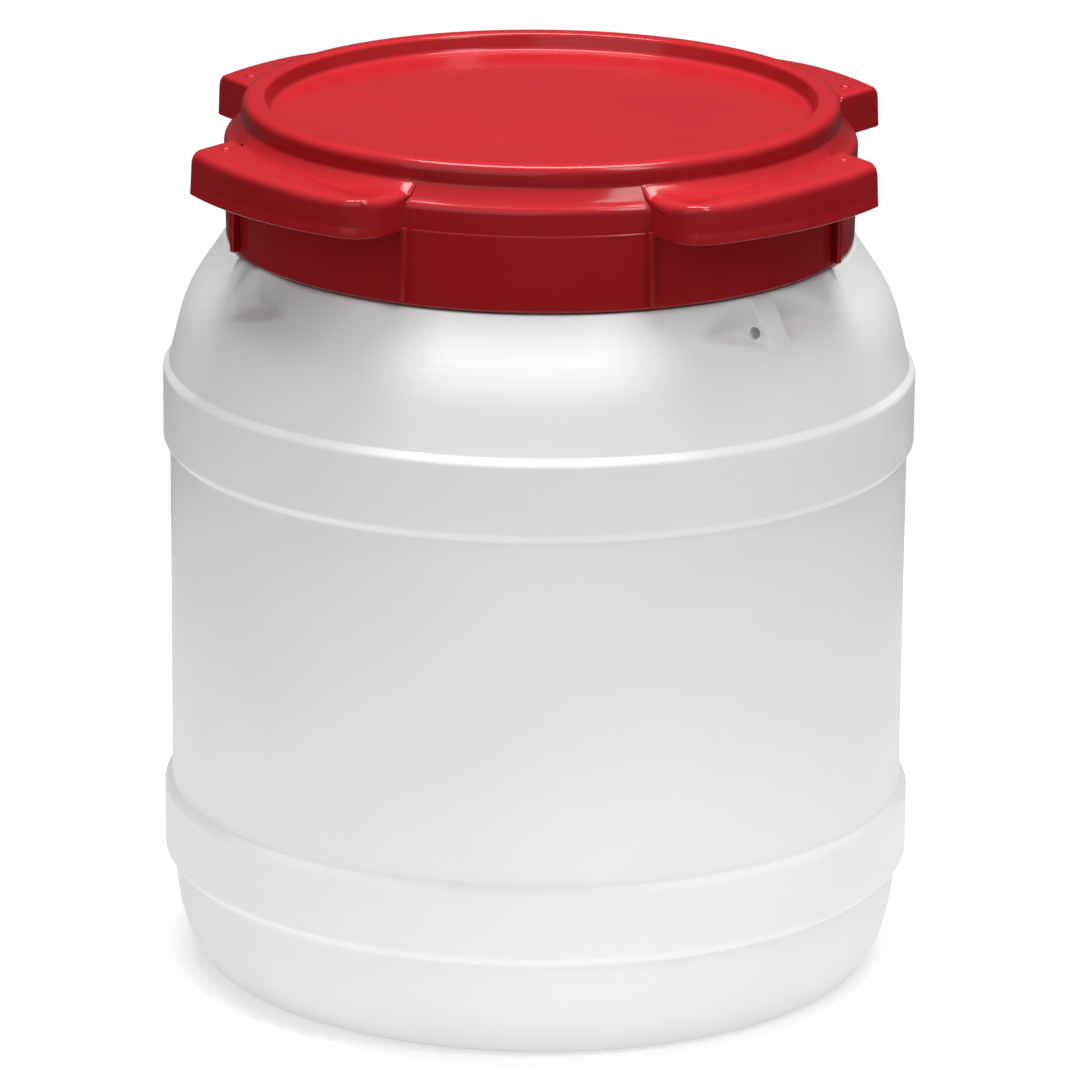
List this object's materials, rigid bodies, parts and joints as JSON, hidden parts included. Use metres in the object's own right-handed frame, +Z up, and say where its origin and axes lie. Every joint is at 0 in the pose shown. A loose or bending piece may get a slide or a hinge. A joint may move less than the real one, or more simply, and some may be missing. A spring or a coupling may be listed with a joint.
{
  "type": "plastic screw lid drum",
  "caption": "Wide-neck round plastic drum with two raised rolling bands and a screw lid that has hollow grip wings and a raised stacking ring.",
  "frame": {"origin": "centre of the drum's base, on the surface it stands on", "axes": "+Z up along the drum's axis; X and Y are the two mirror planes of the lid's wings, with the gaps between the wings' flat ends on X and the gaps between their blended ends on Y"},
  "size_m": [0.2874, 0.2874, 0.3384],
  "materials": {
    "white_body": "satin, natural white blow-moulded polyethylene",
    "red_lid": "glossy red injection-moulded polyethylene",
    "gasket_foam": "matt closed-cell foam"
  },
  "bodies": {
    "drum": {"drum_body": "white_body"},
    "gasket": {"lid_gasket": "gasket_foam"},
    "lid": {"screw_lid": "red_lid"}
  },
  "joints": [
    {"name": "lid_rise", "type": "slide", "parent": "drum", "child": "gasket", "axis": [0, 0, 1], "range_m": [0, 0.0601]},
    {"name": "lid_turn", "type": "hinge", "parent": "gasket", "child": "lid", "pos_m": [0, 0, 0.3384], "axis": [0, 0, 1], "range_deg": [0, 900]}
  ],
  "couplings": [
    {"joint": "lid_rise", "follows": "lid_turn", "m_per_rad": 0.0038197}
  ]
}
